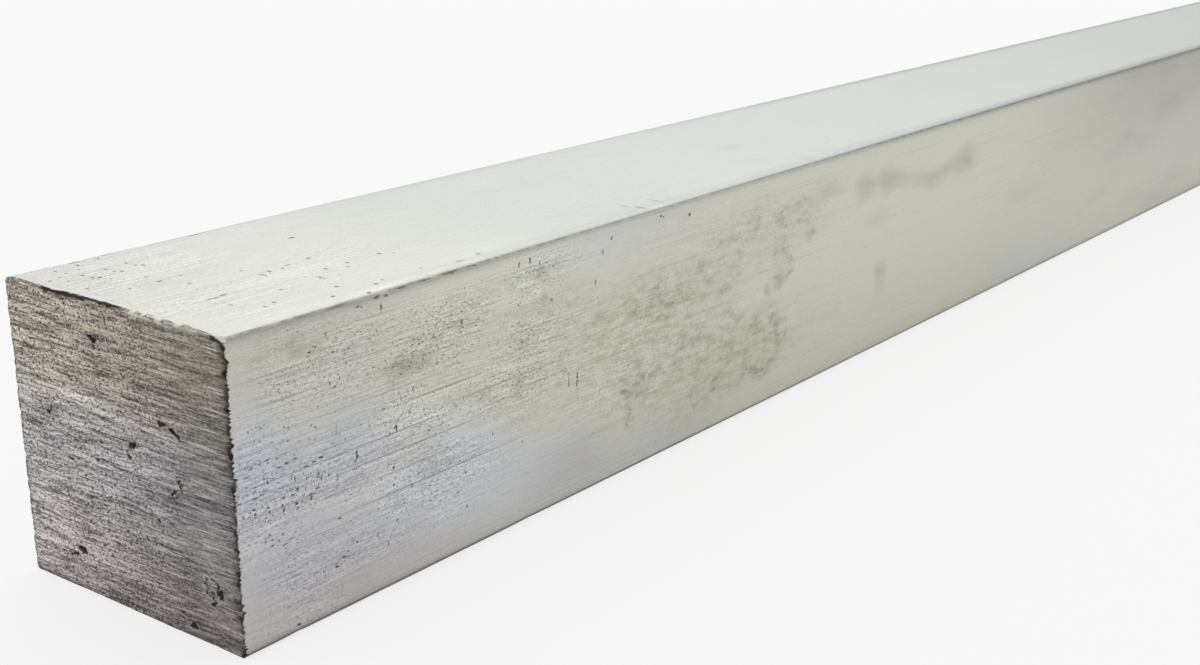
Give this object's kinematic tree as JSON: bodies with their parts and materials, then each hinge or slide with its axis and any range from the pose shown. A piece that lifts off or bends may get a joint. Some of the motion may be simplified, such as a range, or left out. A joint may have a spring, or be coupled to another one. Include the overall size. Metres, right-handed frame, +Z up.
{
  "type": "aluminium square bar",
  "caption": "Solid aluminium square bar, a straight cut length of extruded stock with slightly rounded long edges and flat sawn ends.",
  "frame": {"origin": "middle of the underside: halfway between the sawn ends, on the centre line of the face the bar rests on", "axes": "+X along the bar, towards its far end; +Z up, out of the top face; +Y across the bar"},
  "size_m": [0.301, 0.025, 0.025],
  "materials": {
    "aluminium": "mill finish, die lines along the bar, sawn ends"
  },
  "bodies": {
    "root": {"square_bar": "aluminium"}
  },
  "joints": []
}
